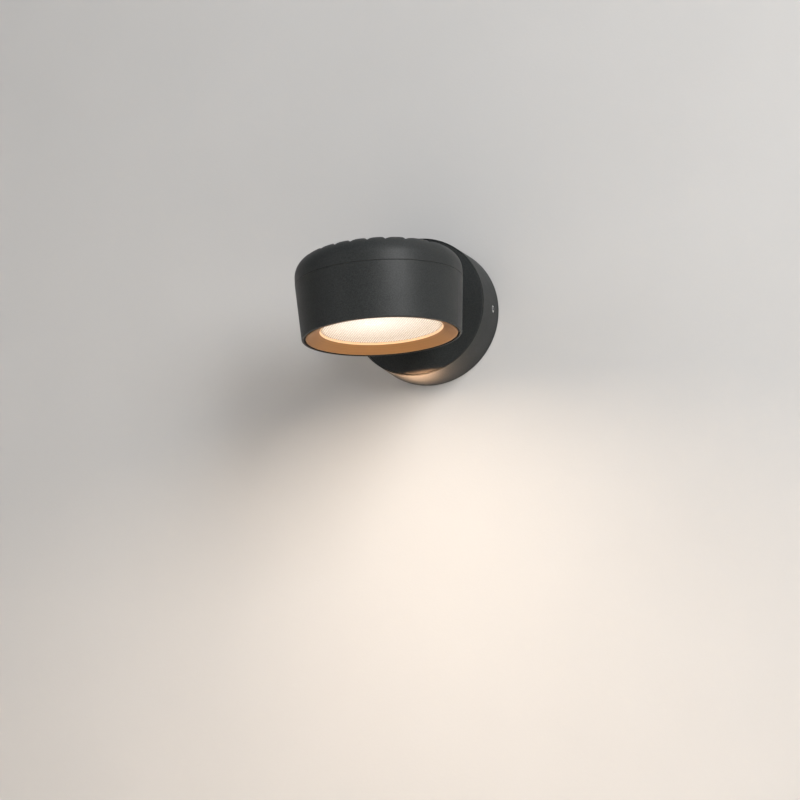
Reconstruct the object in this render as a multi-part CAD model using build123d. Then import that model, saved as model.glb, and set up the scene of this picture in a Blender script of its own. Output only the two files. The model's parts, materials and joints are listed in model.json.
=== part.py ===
from build123d import *
from math import acos, atan2, cos, hypot, sin, sqrt
import os

# Pivoting spotlight wall light, in millimetres, +Z up.
# The origin is the centre of the base's back face, on the wall. The wall is the plane y = 0,
# the lamp stands out of it towards -Y, and +X is to the right for someone who faces the wall.
# The lamp is modelled as it hangs in use: the head points straight down.

# ---------------------------------------------------------------- driving sizes: base on the wall
base_back_radius = 53.5
base_draft = 1.1             # the round base is this much smaller in front than at the wall
base_depth = 33.0            # from the wall to the base's front face
base_wall = 2.6
gasket_thickness = 1.0       # foam ring between the base and the wall
gasket_inset = 1.0
gasket_width = 4.0
front_plate_thickness = 3.5  # separate disc let into the base's front
front_plate_gap = 0.3        # fine shadow line round the disc
front_rim_width = 0.5        # sliver of the ring that shows round the disc
ledge_thickness = 2.0
ledge_width = 6.5
edge_round = 0.6

bracket_gap = 3.8            # between the steel plate on the wall and the ring round it
bracket_thickness = 2.0
wall_screw_spacing = 60.0
wall_slot_width = 5.0
wall_slot_length = 12.0
tab_width = 16.0
tab_height = 17.0
tab_thickness = 2.0

grub_radius = 3.0            # hexagon socket screws that lock the base to the bracket
grub_from_wall = 12.0
grub_angle = -4.8            # clock angle seen from the front, from +X towards +Z
grub_sunk = 0.25
grub_socket_flats = 3.0
grub_socket_depth = 2.6
grub_bite = 1.6
grub_chamfer = 0.5
grub_clearance = 0.2
thread_clearance = 0.05

# ---------------------------------------------------------------- driving sizes: what the base holds
cable_radius = 4.25
grommet_neck_radius = 11.0
grommet_flange_radius = 13.5
grommet_flange = 1.8
grommet_nose_radius = 6.8
grommet_length = 8.0
driver_side_room = 20.8      # between the driver's side and the base's inner wall
driver_corner_gap = 1.2      # between its lower corners and that wall
driver_nut_gap = 4.5         # between its top and the swivel's nut
driver_depth = 17.0
driver_round = 1.5
driver_ear = 7.0
driver_ear_height = 9.0
driver_ear_thickness = 2.5
block_width = 30.0
block_height = 15.0
block_depth = 14.0
block_edge_gap = 11.0        # between the terminal block's top and the steel plate's edge
block_poles = 3
block_well_radius = 2.3
block_well_depth = 8.0
block_screw_sunk = 1.5
block_entry_radius = 1.9
block_peg_radius = 1.5
block_peg_spacing = 20.0
small_screw_radius = 1.5
small_head_radius = 2.8
small_head_height = 1.8
slot_width = 0.8
slot_depth = 0.7
earth_from_block = 12.0      # earth screw beside the terminal block, and under its middle
earth_under_block = 3.5
earth_tag_thickness = 0.8
earth_tag_radius = 3.6
wire_radius = 1.0
wire_bend = 3.0
wire_bow = 17.0              # how far out the mains wires pass the swivel
wire_entry = 11.7            # where they enter the driver, out from the centre
wire_run_out = 2.0           # straight bit in the terminal block
lead_radius = 1.2
lead_bend = 2.4
lead_joint_gap = 0.1         # between the lead's stretches, where a joint turns
front_screw_count = 3
front_screw_edge_gap = 0.2   # between a front screw's head and the ring's wall

# ---------------------------------------------------------------- driving sizes: swivel on the base
hinge_under_top = 11.5       # the tilt axis runs along X, this far under the head's top
head_base_gap = 0.9          # between the head's top and the base when the head points outwards
flange_radius = 17.0
flange_thickness = 3.0
friction_disc = 0.5          # thin discs that give both joints their drag
spigot_radius = 9.0
spigot_bore = 5.0
boss_radius = 14.0
boss_height = 4.0
boss_step = 1.0              # the bush's flange and the washers are this much smaller than the boss
bush_wall = 1.4
bush_flange = 1.0
spring_disc = 0.8
stop_disc = 1.2
stop_tab_overlap = 1.3       # past the stop pin's middle
stop_tab_width = 4.0
stop_pin_radius = 1.5
stop_pin_hole = 1.75
stop_pin_gap = 0.2           # between the pin and the boss
flat_depth = 1.0             # flats on the spigot that carry the stop disc round
nut_radius = 12.5
nut_thickness = 4.0
seal_radius = 14.0           # round seal in the flange, kept from the spigot by the friction disc
seal_wire = 0.9

# ---------------------------------------------------------------- driving sizes: tilt hinge
eye_gap = 0.4                # between the eye and the flange
eye_width = 14.0
ear_width = 6.0
hinge_play = 0.05
running_clearance = 0.05
pivot_radius = 5.0
pivot_bore = 3.4
cap_radius = 7.4
cap_thickness = 1.6
cap_plug = 1.5
cap_slot = 1.4
pivot_window = 9.4           # width of the opening that lets the lead into the hollow pivot
arm_low = 10.0               # the arm's web meets the flange this far under and over the centre
arm_high = 14.5
foot_gap = 0.5               # between the eye and the fork's foot
foot_thickness = 4.0
foot_width = 34.0
foot_over_seam = 2.3
foot_over_hinge = 6.0
foot_clearance = 0.15
fork_screw_radius = 2.0
fork_screw_head_radius = 3.2
fork_screw_head = 2.4
fork_screw_gland_gap = 0.15  # between a fork screw's head and the lead's gland
fork_screw_rise = 3.0        # over the foot's lower edge
duct_radius = 2.6

# ---------------------------------------------------------------- driving sizes: head
head_radius = 60.0
head_from_hinge = 7.1        # from the tilt axis to the head's widest point
head_draft = 3.0             # the drum is this much smaller at its mouth than at the seam
mouth_drop = 40.5            # mouth plane under the base's centre
drum_height = 40.0
drum_wall = 3.0
lip_width = 1.6
lip_round = 0.7
mouth_groove_width = 1.2     # dark groove between the lip and the trim ring
mouth_groove_depth = 2.5
shelf_reach = 3.7            # how far the shelf goes in past the lens's edge
shelf_thickness = 3.0
seam_flange_width = 12.0     # from the head's widest point inwards
seam_flange_thickness = 3.0
seam_chamfer = 0.3
top_height = 19.8            # from the seam to the ribs' crests
shoulder_radius = 14.3       # big rounding from the side to the top
rib_count = 10               # round-topped cooling ribs that run from front to back
rib_radius = 6.5
cavity_wall = 10.0           # from the head's widest point inwards
cavity_height = 12.0
cavity_width = 20.0          # from the outer wall to the pillar that carries the light source
seal_groove_edge = 2.0       # from the head's widest point inwards
seal_groove_width = 2.0
seal_groove_depth = 1.0
seal_clearance = 0.1

lens_edge_gap = 8.0          # between the lens and the drum's bore
lens_thickness = 2.5
lens_recess = 7.1            # lens face above the mouth plane
lens_ledge = 2.6             # how far the trim ring reaches under the lens
trim_edge_height = 1.4       # upright inner edge of the trim ring
trim_mouth_gap = 0.3         # the trim ring ends this far above the mouth plane
trim_outer_flat = 0.8
trim_wall = 1.2
trim_skirt_gap = 0.7         # between its skirt and the shelf
trim_clearance = 0.15
lens_clearance = 0.25
lens_gasket_width = 3.2

reflector_wall = 1.2
reflector_flange_width = 7.6
reflector_shelf_gap = 1.1    # its mouth is smaller than the shelf's opening
reflector_holder_gap = 0.4   # its top is smaller than the holder's opening
reflector_gap = 0.1
pad_thickness = 0.3
board_radius = 22.0
board_thickness = 1.6
chip_radius = 9.0
chip_square = 22.0
chip_thickness = 1.0
holder_radius = 18.0
holder_opening = 11.6
holder_thickness = 2.2
holder_screw_circle = 15.2
holder_screw_head = 2.5
holder_screw_head_height = 0.9
holder_socket_gap = 0.2      # round the chip's plate
source_screw_grip = 8.0
head_screw_edge = 7.0        # from the head's widest point inwards
head_screw_count = 4
head_screw_start = 45.0
head_screw_grip = 8.0
gland_wall = 0.9
gland_length = 9.0
lead_drop_gap = 7.8          # the lead comes down this far outside the source's pillar

# ---------------------------------------------------------------- places worked out from the sizes
base_front_y = -base_depth
base_front_radius = base_back_radius - base_draft
mouth_z = -mouth_drop
seam_z = mouth_z + drum_height
top_z = seam_z + top_height
hinge_from_base = hinge_under_top + head_base_gap
hinge_y = base_front_y - hinge_from_base
hinge_z = top_z - hinge_under_top
head_y = hinge_y - head_from_hinge - head_radius
ring_inner_radius = base_front_radius - base_wall
bracket_radius = ring_inner_radius - bracket_gap
front_screw_circle = ring_inner_radius - small_head_radius - front_screw_edge_gap
driver_half = ring_inner_radius - driver_side_room
driver_top = -nut_radius - driver_nut_gap
driver_bottom = -sqrt((ring_inner_radius - driver_corner_gap) ** 2 - driver_half ** 2)
driver_middle_z = (driver_top + driver_bottom) / 2
driver_screw_x = driver_half + driver_ear / 2
block_top = bracket_radius - block_edge_gap
block_bottom = block_top - block_height
block_middle_z = block_bottom + block_height / 2
block_front_y = -bracket_thickness - block_depth
block_entry_y = block_front_y + block_well_depth
earth_x = -block_width / 2 - earth_from_block
earth_z = block_middle_z - earth_under_block
ledge_y = base_front_y + front_plate_thickness
flange_back_y = base_front_y - friction_disc
flange_front_y = flange_back_y - flange_thickness
boss_y = ledge_y + boss_height
bush_y = boss_y + bush_flange
spring_y = bush_y + spring_disc
stop_y = spring_y + stop_disc
nut_y = stop_y + nut_thickness
bush_radius = spigot_radius + running_clearance + bush_wall
washer_radius = boss_radius - boss_step
stop_pin_circle = boss_radius + stop_pin_gap + stop_pin_radius
seal_groove_y = flange_back_y - seal_wire / 2
eye_radius = hinge_from_base - friction_disc - flange_thickness - eye_gap
ear_inner = eye_width / 2 + friction_disc + 2 * hinge_play
ear_outer = ear_inner + ear_width
ear_middle = (ear_inner + ear_outer) / 2
foot_front_y = hinge_y - eye_radius - foot_gap
foot_back_y = foot_front_y - foot_thickness
fork_low = seam_z + foot_over_seam
fork_high = hinge_z + foot_over_hinge
gland_radius = duct_radius + gland_wall
fork_screw_spread = ear_middle - gland_radius - fork_screw_head_radius - fork_screw_gland_gap
fork_screw_z = fork_low + fork_screw_rise
mouth_radius = head_radius - head_draft
mouth_opening_radius = mouth_radius - lip_width
bore_radius = mouth_opening_radius - mouth_groove_width
lens_radius = bore_radius - lens_edge_gap
cavity_radius = head_radius - cavity_wall
seat_radius = cavity_radius - cavity_width
fork_screw_seat_y = head_y + sqrt(cavity_radius ** 2 - (fork_screw_spread + fork_screw_head_radius) ** 2)
gland_end_y = foot_back_y - gland_length
seal_groove_outer = head_radius - seal_groove_edge
seal_groove_inner = seal_groove_outer - seal_groove_width
head_screw_circle = head_radius - head_screw_edge
rib_pitch = 2 * head_radius / rib_count
lens_z = mouth_z + lens_recess
shelf_z = lens_z + lens_thickness + trim_wall
shelf_top_z = shelf_z + shelf_thickness
board_z = seam_z - pad_thickness - board_thickness
holder_z = board_z - holder_thickness
window_radius = lens_radius - lens_ledge
shelf_inner_radius = lens_radius - shelf_reach
reflector_bottom_radius = shelf_inner_radius - reflector_shelf_gap
drum_slope = head_draft / drum_height


# ---------------------------------------------------------------- small helpers
def rod_y(radius, y_from, y_to, x=0.0, z=0.0):
    """Round bar along Y between two planes."""
    return Pos(x, (y_from + y_to) / 2, z) * Rot(90, 0, 0) * Cylinder(radius, abs(y_to - y_from))


def ring_y(outer, inner, y_from, y_to):
    return rod_y(outer, y_from, y_to) - rod_y(inner, y_from, y_to)


def rod_x(radius, x_from, x_to, y=0.0, z=0.0):
    return Pos((x_from + x_to) / 2, y, z) * Rot(0, 90, 0) * Cylinder(radius, abs(x_to - x_from))


def rod_z(radius, z_from, z_to, x=0.0, y=0.0):
    return Pos(x, y, (z_from + z_to) / 2) * Cylinder(radius, abs(z_to - z_from))


def block(x_from, x_to, y_from, y_to, z_from, z_to):
    """Box between six planes."""
    centre = Pos((x_from + x_to) / 2, (y_from + y_to) / 2, (z_from + z_to) / 2)
    return centre * Box(abs(x_to - x_from), abs(y_to - y_from), abs(z_to - z_from))


def turned(points):
    """Solid of revolution about Z from an outline of (radius, height) points."""
    outline = [(radius, 0, height) for radius, height in points]
    return revolve(make_face(Polyline(*outline, close=True)), Axis.Z)


def on_head(shape):
    """Carries a shape from the Z axis to the head's own axis."""
    return Pos(0, head_y, 0) * shape


def clocked(angle, shape):
    """Turns a shape about the base's axis, from +X towards +Z."""
    return Rot(0, -angle, 0) * shape


def tube_along(radius, bend, *points):
    """Wire with straight runs and round bends."""
    path = FilletPolyline(*points, radius=bend)
    start = Plane(origin=path @ 0, z_dir=path % 0)
    return sweep(start * Circle(radius), path=path)


def pan_screw(radius, head_radius, head_height, length):
    """Slotted pan screw along +Z: the head's underside is at z = 0, the head is below it."""
    shank = Pos(0, 0, length / 2) * Cylinder(radius, length)
    head = Pos(0, 0, -head_height / 2) * Cylinder(head_radius, head_height)
    slot = Pos(0, 0, -head_height) * Box(2 * head_radius, slot_width, 2 * slot_depth)
    return shank + head - slot


def base_radius_at(y):
    """Outer radius of the tapered base at a distance from the wall."""
    along = (-y - gasket_thickness) / (base_depth - gasket_thickness)
    return base_back_radius - base_draft * along


def drum_radius_at(height):
    """Outer radius of the tapered drum, height counted from its mouth."""
    return mouth_radius + drum_slope * height


# ---------------------------------------------------------------- base: shells
def grub_hole(radius):
    reach = base_back_radius
    return clocked(grub_angle, rod_x(radius, -reach, reach, -grub_from_wall))


def base_ring():
    outer = turned([
        (0, gasket_thickness), (base_back_radius, gasket_thickness),
        (base_front_radius, base_depth), (0, base_depth),
    ])
    ring = Rot(90, 0, 0) * outer
    ring -= rod_y(ring_inner_radius, 0, ledge_y + ledge_thickness)
    ring -= rod_y(ring_inner_radius - ledge_width, 0, base_front_y)
    ring -= rod_y(base_front_radius - front_rim_width, ledge_y, base_front_y)
    ring -= grub_hole(grub_radius + thread_clearance)
    for angle in front_screw_angles():
        hole = rod_y(small_screw_radius + grub_clearance, 0, base_front_y, front_screw_circle)
        ring -= clocked(angle, hole)
    return ring


def front_screw_angles():
    return [90 + 360 / front_screw_count * index for index in range(front_screw_count)]


def base_front():
    radius = base_front_radius - front_rim_width - front_plate_gap
    disc = rod_y(radius, base_front_y, ledge_y)
    rim = disc.edges().filter_by(GeomType.CIRCLE).sort_by(Axis.Y)[0]
    disc = fillet(rim, edge_round)
    disc += rod_y(boss_radius, ledge_y, boss_y)
    disc -= rod_y(bush_radius + running_clearance, base_front_y, boss_y)
    disc -= rod_y(stop_pin_radius, ledge_y - stop_pin_hole, ledge_y, 0, -stop_pin_circle)
    for angle in front_screw_angles():
        depth = front_plate_thickness - edge_round
        hole = rod_y(small_screw_radius, ledge_y, ledge_y - depth, front_screw_circle)
        disc -= clocked(angle, hole)
    return disc


def wall_gasket():
    outer = base_back_radius - gasket_inset
    return ring_y(outer, outer - gasket_width, 0, -gasket_thickness)


def wall_bracket():
    plate = rod_y(bracket_radius, 0, -bracket_thickness)
    plate -= rod_y(grommet_neck_radius, 0, -bracket_thickness)
    slot = SlotOverall(wall_slot_length, wall_slot_width)
    cut = extrude(Plane.XZ * slot, bracket_thickness)
    for side in (-1, 1):
        plate -= Pos(side * wall_screw_spacing / 2, 0, 0) * cut
    for side in (-1, 1):
        outer = side * bracket_radius
        inner = side * (bracket_radius - tab_thickness)
        tab = block(inner, outer, 0, -tab_height, -tab_width / 2, tab_width / 2)
        tab -= rod_x(grub_radius + grub_clearance, inner, outer, -grub_from_wall)
        plate += clocked(grub_angle, tab)
        plate -= rod_y(small_screw_radius, 0, -bracket_thickness, side * driver_screw_x, driver_middle_z)
        plate -= rod_y(block_peg_radius + thread_clearance, 0, -bracket_thickness,
                       side * block_peg_spacing / 2, block_middle_z)
    plate -= rod_y(small_screw_radius, 0, -bracket_thickness, earth_x, earth_z)
    return plate


def grub_screws():
    outer = base_radius_at(-grub_from_wall) - grub_sunk
    inner = bracket_radius - grub_bite
    screw = rod_x(grub_radius, inner, outer, -grub_from_wall)
    rim = screw.edges().filter_by(GeomType.CIRCLE).sort_by(Axis.X)[-1]
    screw = chamfer(rim, grub_chamfer)
    socket = RegularPolygon(grub_socket_flats / 2, 6, major_radius=False)
    placed = Plane(origin=(outer, -grub_from_wall, 0), z_dir=(1, 0, 0)) * socket
    screw -= extrude(placed, -grub_socket_depth)
    return Compound([clocked(grub_angle + turn, screw) for turn in (0, 180)])


# ---------------------------------------------------------------- base: what it holds
def cable_grommet():
    grommet = rod_y(grommet_neck_radius - thread_clearance, 0, -bracket_thickness)
    grommet += rod_y(grommet_flange_radius, -bracket_thickness, -bracket_thickness - grommet_flange)
    grommet += rod_y(grommet_nose_radius, 0, -grommet_length)
    grommet -= rod_y(cable_radius, 0, -grommet_length)
    return grommet


def led_driver():
    back = -bracket_thickness
    case = block(-driver_half, driver_half, back, back - driver_depth, driver_bottom, driver_top)
    case = fillet(case.edges().filter_by(Axis.Y), driver_round)
    ear_half = driver_ear_height / 2
    ear_end = driver_half + driver_ear
    case += block(-ear_end, ear_end, back, back - driver_ear_thickness,
                  driver_middle_z - ear_half, driver_middle_z + ear_half)
    for side in (-1, 1):
        case -= rod_y(small_screw_radius + grub_clearance, back, back - driver_ear_thickness,
                      side * driver_screw_x, driver_middle_z)
    return case


def driver_screws():
    seat = -bracket_thickness - driver_ear_thickness
    length = driver_ear_thickness + bracket_thickness
    screw = pan_screw(small_screw_radius - thread_clearance, small_head_radius, small_head_height, length)
    placed = Rot(-90, 0, 0) * screw
    return Compound([Pos(side * driver_screw_x, seat, driver_middle_z) * placed for side in (-1, 1)])


def pole_places():
    pitch = block_width / block_poles
    return [pitch * (index - (block_poles - 1) / 2) for index in range(block_poles)]


def terminal_block():
    half = block_width / 2
    back = -bracket_thickness
    body = block(-half, half, back, block_front_y, block_bottom, block_top)
    body = chamfer(body.edges().filter_by(Axis.X), edge_round)
    for side in (-1, 1):
        body += rod_y(block_peg_radius, 0, back, side * block_peg_spacing / 2, block_middle_z)
    for x in pole_places():
        body -= rod_y(block_well_radius, block_front_y, block_front_y + block_well_depth, x, block_middle_z)
        body -= rod_z(block_entry_radius, block_bottom, block_top, x, block_entry_y)
    return body


def terminal_screws():
    front = block_front_y + block_screw_sunk
    radius = block_well_radius - grub_clearance
    screw = rod_y(radius, front, block_entry_y - wire_radius - thread_clearance)
    screw -= block(-radius, radius, front, front + slot_depth, -slot_width / 2, slot_width / 2)
    return Compound([Pos(x, 0, block_middle_z) * screw for x in pole_places()])


def earth_screw():
    screw = pan_screw(small_screw_radius - thread_clearance, small_head_radius, small_head_height,
                      bracket_thickness + earth_tag_thickness)
    return Pos(earth_x, -bracket_thickness - earth_tag_thickness, earth_z) * Rot(-90, 0, 0) * screw


def earth_tag():
    back = -bracket_thickness
    front = back - earth_tag_thickness
    tag = rod_y(earth_tag_radius, back, front, earth_x, earth_z)
    tongue = block(earth_x, -block_width / 2 - thread_clearance, back, front,
                   earth_z - small_screw_radius, earth_z + small_screw_radius)
    tag += tongue
    tag -= rod_y(small_screw_radius + thread_clearance, back, front, earth_x, earth_z)
    return tag


def front_screws():
    seat = ledge_y + ledge_thickness
    length = ledge_thickness + front_plate_thickness - 2 * edge_round
    screw = pan_screw(small_screw_radius - thread_clearance, small_head_radius, small_head_height, length)
    placed = Pos(front_screw_circle, seat, 0) * Rot(90, 0, 0) * screw
    return Compound([clocked(angle, placed) for angle in front_screw_angles()])


def mains_leads():
    """Line and neutral, from the terminal block down to the driver."""
    y = block_entry_y
    wires = []
    for side, x in zip((-1, 1), (pole_places()[0], pole_places()[-1])):
        wires.append(tube_along(
            wire_radius, wire_bend,
            (x, y, block_bottom + wire_run_out), (x, y, block_bottom - wire_bend),
            (side * wire_bow, y, block_bottom / 2), (side * wire_bow, y, driver_top / 2),
            (side * wire_entry, y, driver_top + wire_bend), (side * wire_entry, y, driver_top),
        ))
    return Compound(wires)


def driver_lead():
    """Low-voltage lead, from the driver to the middle of the swivel."""
    y = (nut_y - grommet_length) / 2
    start_x = boss_radius / 2
    return tube_along(
        lead_radius, lead_bend,
        (start_x, y, driver_top), (start_x, y, driver_top / 2),
        (0, y, 0), (0, nut_y + lead_joint_gap / 2, 0),
    )


# ---------------------------------------------------------------- swivel: turns with the arm
def swivel_bush():
    bush = ring_y(bush_radius, spigot_radius + running_clearance, base_front_y, boss_y)
    bush += ring_y(washer_radius, spigot_radius + running_clearance, boss_y, bush_y)
    return bush


def stop_pin():
    return rod_y(stop_pin_radius - thread_clearance, ledge_y - stop_pin_hole, stop_y, 0, -stop_pin_circle)


def swivel_disc():
    """Friction disc under the flange, inside the seal."""
    inner = spigot_radius + running_clearance
    outer = seal_radius - seal_wire - running_clearance
    return ring_y(outer, inner, base_front_y, flange_back_y)


def flange_seal():
    """Round seal that closes the gap between flange and base."""
    groove = seal_radius + seal_wire
    inner = seal_radius - seal_wire / 2
    return ring_y(groove - seal_wire / 2, inner, base_front_y, seal_groove_y + running_clearance)


def spigot_flats(grow=0.0):
    """Cut that leaves two flats on the spigot."""
    reach = 2 * spigot_radius
    near = spigot_radius - flat_depth + grow
    cut = block(near, reach, bush_y, nut_y, -reach, reach)
    return cut + mirror(cut, Plane.YZ)


def arm_outline():
    """Side view of the arm: the web from the flange to the eye, in (y, z)."""
    eye = Pos(hinge_y, hinge_z) * Circle(eye_radius)
    corners = [(flange_front_y, -arm_low), (flange_front_y, arm_high)]
    tangents = []
    for (y, z), turn in zip(corners, (-1, 1)):
        distance = hypot(y - hinge_y, z - hinge_z)
        towards = atan2(z - hinge_z, y - hinge_y)
        angle = towards + turn * acos(eye_radius / distance)
        tangents.append((hinge_y + eye_radius * cos(angle), hinge_z + eye_radius * sin(angle)))
    middle = (hinge_y, hinge_z)
    return eye + make_face(Polyline(*corners, tangents[1], middle, tangents[0], close=True))


def swivel_arm():
    flange = rod_y(flange_radius, flange_back_y, flange_front_y)
    front = flange.edges().filter_by(GeomType.CIRCLE).sort_by(Axis.Y)[0]
    flange = chamfer(front, edge_round)
    profile = Plane(origin=(-eye_width / 2, 0, 0), x_dir=(0, 1, 0), z_dir=(1, 0, 0)) * arm_outline()
    web = extrude(profile, eye_width)
    spigot = rod_y(spigot_radius, flange_back_y, nut_y)
    arm = flange + web + (spigot - spigot_flats())
    arm -= rod_y(spigot_bore, flange_front_y + flange_thickness / 2, nut_y)
    arm -= rod_x(pivot_radius + running_clearance, -eye_width, eye_width, hinge_y, hinge_z)
    arm -= ring_y(seal_radius + seal_wire, seal_radius - seal_wire, seal_groove_y, flange_back_y)
    arm -= arm_duct()
    return arm


def arm_duct():
    """Slanted bore for the lead, from the spigot up to the hinge's hollow pivot."""
    start = Vector(0, flange_back_y, 0)
    along = Vector(0, hinge_y, hinge_z) - start
    bore = Pos(0, 0, along.length / 2) * Cylinder(duct_radius, along.length)
    return Plane(origin=start, z_dir=along) * bore


def spring_washer():
    return ring_y(washer_radius, spigot_radius + running_clearance, bush_y, spring_y)


def stop_washer():
    reach = stop_pin_circle + stop_tab_overlap
    disc = rod_y(washer_radius, spring_y, stop_y)
    disc += block(-stop_tab_width / 2, stop_tab_width / 2, spring_y, stop_y, 0, reach)
    spigot = rod_y(spigot_radius + running_clearance, spring_y, stop_y) - spigot_flats(running_clearance)
    return disc - spigot


def swivel_nut():
    hexagon = RegularPolygon(nut_radius, 6, major_radius=True)
    nut = extrude(Plane(origin=(0, stop_y, 0), z_dir=(0, 1, 0)) * hexagon, nut_thickness)
    return nut - rod_y(spigot_radius + running_clearance, stop_y, nut_y)


def tilt_discs():
    """Friction discs, one each side of the eye."""
    near = eye_width / 2 + hinge_play
    disc = rod_x(eye_radius - edge_round, near, near + friction_disc, hinge_y, hinge_z)
    disc -= rod_x(pivot_radius + running_clearance, near, near + friction_disc, hinge_y, hinge_z)
    return Compound([disc, mirror(disc, Plane.YZ)])


def arm_lead():
    """The lead through the swivel's hollow middle, up to the tilt axis."""
    return tube_along(
        lead_radius, lead_bend,
        (0, nut_y - lead_joint_gap / 2, 0), (0, flange_back_y, 0),
        (0, hinge_y, hinge_z), (-pivot_radius, hinge_y, hinge_z),
    )


# ---------------------------------------------------------------- tilt hinge: moves with the head
def tilt_fork():
    fork = block(-foot_width / 2, foot_width / 2, foot_front_y, foot_back_y, fork_low, fork_high)
    for side in (-1, 1):
        ear = rod_x(eye_radius, side * ear_inner, side * ear_outer, hinge_y, hinge_z)
        ear += block(side * ear_inner, side * ear_outer, hinge_y, foot_back_y, fork_low, fork_high)
        fork += ear
    fork -= rod_x(pivot_radius + running_clearance, -ear_outer, ear_outer, hinge_y, hinge_z)
    fork -= rod_y(duct_radius, hinge_y, foot_back_y, -ear_middle, hinge_z)
    for side in (-1, 1):
        fork -= rod_y(fork_screw_radius, foot_front_y, foot_back_y, side * fork_screw_spread, fork_screw_z)
    return fork


def pivot_tube():
    tube = rod_x(pivot_radius, -ear_outer, ear_outer, hinge_y, hinge_z)
    tube -= rod_x(pivot_bore, -ear_outer, ear_outer, hinge_y, hinge_z)
    tube -= rod_y(duct_radius, hinge_y, hinge_y - 2 * pivot_radius, -ear_middle, hinge_z)
    return tube - block(-pivot_window / 2, pivot_window / 2, hinge_y, hinge_y + pivot_radius,
                        hinge_z - pivot_radius, hinge_z + pivot_radius)


def pivot_caps():
    cap = rod_x(cap_radius, ear_outer, ear_outer + cap_thickness, hinge_y, hinge_z)
    rim = cap.edges().filter_by(GeomType.CIRCLE).sort_by(Axis.X)[-1]
    cap = fillet(rim, edge_round)
    cap += rod_x(pivot_bore - thread_clearance, ear_outer - cap_plug, ear_outer, hinge_y, hinge_z)
    slot = block(ear_outer + cap_thickness - slot_depth, ear_outer + cap_thickness,
                 hinge_y - cap_radius, hinge_y + cap_radius, hinge_z - cap_slot / 2, hinge_z + cap_slot / 2)
    cap -= slot
    left = mirror(cap, Plane.YZ)
    return Compound([cap, left])


def fork_screws():
    seat = fork_screw_seat_y
    length = foot_front_y - seat
    screw = pan_screw(fork_screw_radius - thread_clearance, fork_screw_head_radius, fork_screw_head, length)
    placed = Rot(-90, 0, 0) * screw
    return Compound([Pos(side * fork_screw_spread, seat, fork_screw_z) * placed for side in (-1, 1)])


# ---------------------------------------------------------------- head: shells
def head_drum():
    """Tapered drum under the seam, with the lens shelf and the seam flange inside."""
    top = drum_height
    flange_low = top - seam_flange_thickness
    shelf_low = shelf_z - mouth_z
    shelf_top = shelf_top_z - mouth_z
    flange_inner = head_radius - seam_flange_width
    drum = turned([
        (mouth_opening_radius, 0), (mouth_radius, 0),
        (drum_radius_at(top - seam_chamfer), top - seam_chamfer),
        (head_radius - seam_chamfer, top), (flange_inner, top), (flange_inner, flange_low),
        (drum_radius_at(flange_low) - drum_wall, flange_low),
        (drum_radius_at(shelf_top) - drum_wall, shelf_top),
        (shelf_inner_radius, shelf_top), (shelf_inner_radius, shelf_low), (bore_radius, shelf_low),
        (bore_radius, mouth_groove_depth), (mouth_opening_radius, mouth_groove_depth),
    ])
    lip = drum.edges().filter_by(GeomType.CIRCLE).group_by(Axis.Z)[0].sort_by(SortBy.RADIUS)[-1]
    drum = fillet(lip, lip_round)
    for angle in head_screw_angles():
        hole = rod_z(small_screw_radius + grub_clearance, flange_low, top, head_screw_circle)
        drum -= Rot(0, 0, angle) * hole
    return on_head(Pos(0, 0, mouth_z) * drum)


def head_screw_angles():
    return [head_screw_start + 360 / head_screw_count * index for index in range(head_screw_count)]


def rounded_head():
    """Smooth body over the seam: straight wall, big shoulder, flat top, with its base at z = 0."""
    centre = head_radius - shoulder_radius
    wall_top = top_height - shoulder_radius
    foot = (head_radius - seam_chamfer, 0)
    start = (head_radius, wall_top)
    half = sqrt(0.5) * shoulder_radius
    flat = (centre, top_height)
    outline = Polyline((0, top_height), (0, 0), foot, (head_radius, seam_chamfer), start)
    outline += ThreePointArc(start, (centre + half, wall_top + half), flat)
    outline += Line(flat, (0, top_height))
    return revolve(Plane.XZ * make_face(outline), Axis.Z)


def ribs():
    """Rows of round-topped ribs along Y, on a block that ends under their crests."""
    root = top_height - rib_radius
    reach = head_radius
    body = block(-reach, reach, -reach, reach, 0, root)
    for index in range(rib_count):
        x = rib_pitch * (index - (rib_count - 1) / 2)
        body += rod_y(rib_radius, -reach, reach, x, root)
    return body


def heat_sink():
    """Cast cooling body: ribbed dome, hollow underneath, with a pad for the hinge's fork."""
    body = rounded_head() & ribs()
    body -= rod_z(cavity_radius, 0, cavity_height) - rod_z(seat_radius, 0, cavity_height)
    body -= rod_z(seal_groove_outer, 0, seal_groove_depth) - rod_z(seal_groove_inner, 0, seal_groove_depth)
    for angle in head_screw_angles():
        hole = rod_z(small_screw_radius, 0, head_screw_grip, head_screw_circle)
        body -= Rot(0, 0, angle) * hole
    body = on_head(Pos(0, 0, seam_z) * body)
    body = with_fork_pad(body)
    for side in (-1, 1):
        x = side * holder_screw_circle
        body -= rod_z(small_screw_radius, seam_z, seam_z + source_screw_grip, x, head_y)
    return body


def with_fork_pad(body):
    half = foot_width / 2 + foot_clearance
    body += block(-half - foot_clearance, half + foot_clearance, foot_back_y, head_y + cavity_radius,
                  fork_low, fork_high + foot_clearance)
    body -= block(-half, half, foot_back_y, 0, fork_low - foot_clearance, top_z)
    seat = fork_screw_seat_y
    for side in (-1, 1):
        x = side * fork_screw_spread
        body -= rod_y(fork_screw_radius + foot_clearance, foot_back_y, seat, x, fork_screw_z)
        body -= rod_y(fork_screw_head_radius + foot_clearance, seat, seat - 2 * fork_screw_head, x,
                      fork_screw_z)
    body -= rod_y(gland_radius, foot_back_y, gland_end_y, -ear_middle, hinge_z)
    return body


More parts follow.
